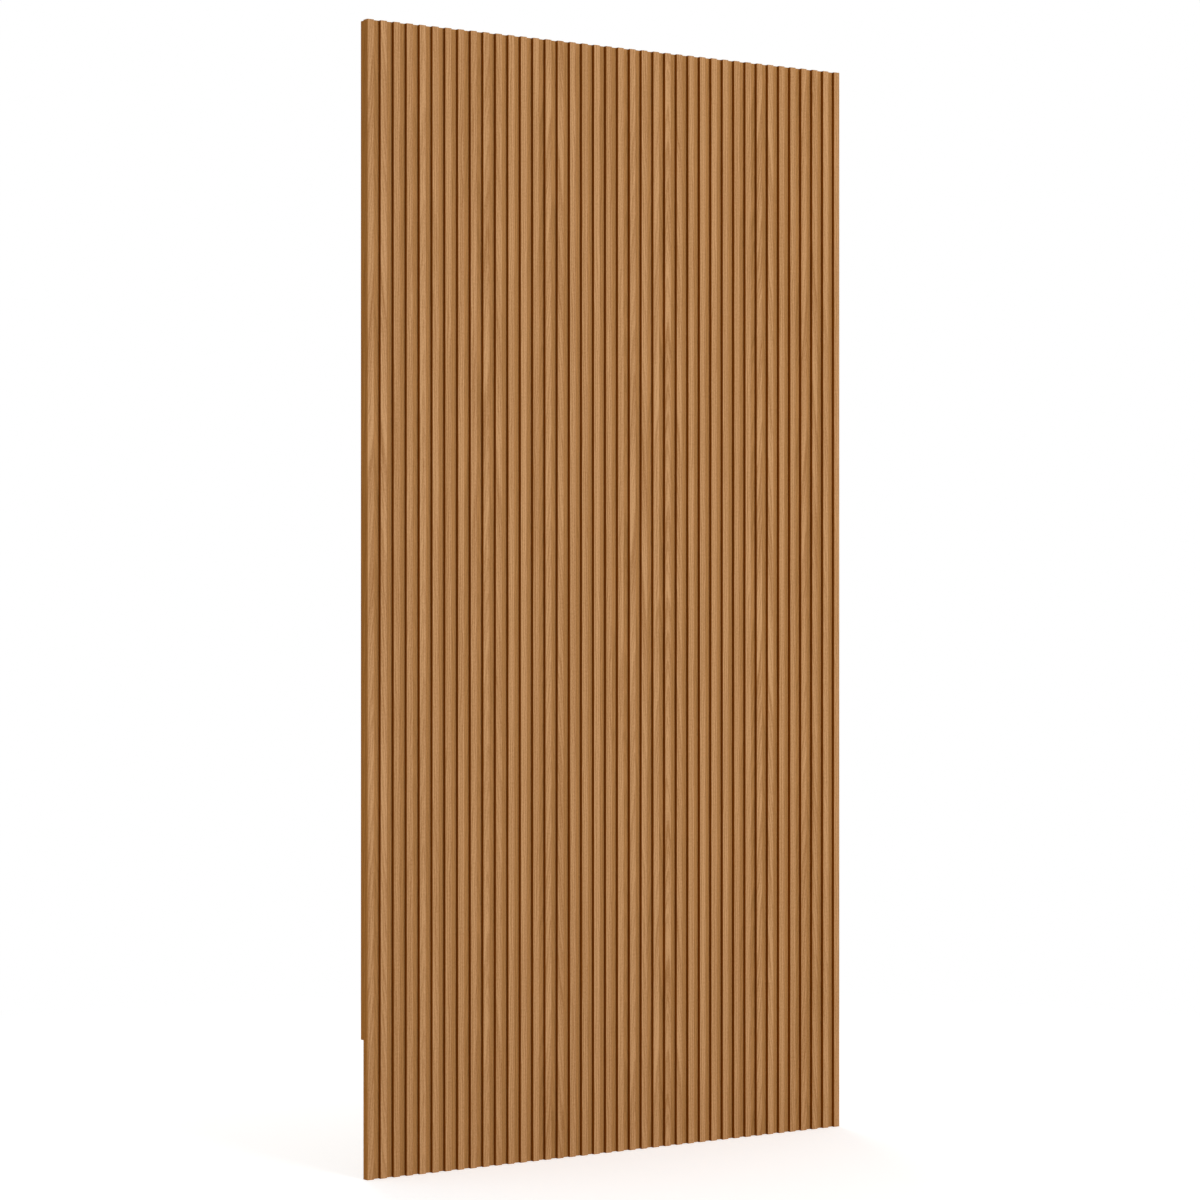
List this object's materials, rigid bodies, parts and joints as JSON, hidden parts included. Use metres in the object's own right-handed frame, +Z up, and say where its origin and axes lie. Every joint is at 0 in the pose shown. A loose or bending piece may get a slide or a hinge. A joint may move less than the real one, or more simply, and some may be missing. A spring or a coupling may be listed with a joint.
{
  "type": "slat wall panel",
  "caption": "Tall decorative wall panel: upright wood-finish slats on a backing board, with rear battens that hold it off the wall and clear a skirting board.",
  "frame": {"origin": "middle of the panel on the wall plane, which is the back face of the centre stile", "axes": "+X across the panel to the right seen from the front, +Y into the wall, +Z up; the slats face -Y"},
  "size_m": [1.35, 0.03, 2.6],
  "materials": {
    "slat_decor": "satin wood-grain foil",
    "board_decor": "satin wood-grain foil",
    "batten_board": "sawn fibreboard",
    "screw_steel": "zinc plated"
  },
  "bodies": {
    "root": {"backing_board": "board_decor", "slat_01": "slat_decor", "slat_02": "slat_decor", "slat_03": "slat_decor", "slat_04": "slat_decor", "slat_05": "slat_decor", "slat_06": "slat_decor", "slat_07": "slat_decor", "slat_08": "slat_decor", "slat_09": "slat_decor", "slat_10": "slat_decor", "slat_11": "slat_decor", "slat_12": "slat_decor", "slat_13": "slat_decor", "slat_14": "slat_decor", "slat_15": "slat_decor", "slat_16": "slat_decor", "slat_17": "slat_decor", "slat_18": "slat_decor", "slat_19": "slat_decor", "slat_20": "slat_decor", "slat_21": "slat_decor", "slat_22": "slat_decor", "slat_23": "slat_decor", "slat_24": "slat_decor", "slat_25": "slat_decor", "slat_26": "slat_decor", "slat_27": "slat_decor", "slat_28": "slat_decor", "slat_29": "slat_decor", "slat_30": "slat_decor", "slat_31": "slat_decor", "slat_32": "slat_decor", "slat_33": "slat_decor", "slat_34": "slat_decor", "slat_35": "slat_decor", "slat_36": "slat_decor", "slat_37": "slat_decor", "slat_38": "slat_decor", "slat_39": "slat_decor", "slat_40": "slat_decor", "left_stile": "batten_board", "centre_stile": "batten_board", "right_stile": "batten_board", "left_top_rail": "batten_board", "left_middle_rail": "batten_board", "left_bottom_rail": "batten_board", "right_top_rail": "batten_board", "right_middle_rail": "batten_board", "right_bottom_rail": "batten_board"}
  },
  "joints": []
}
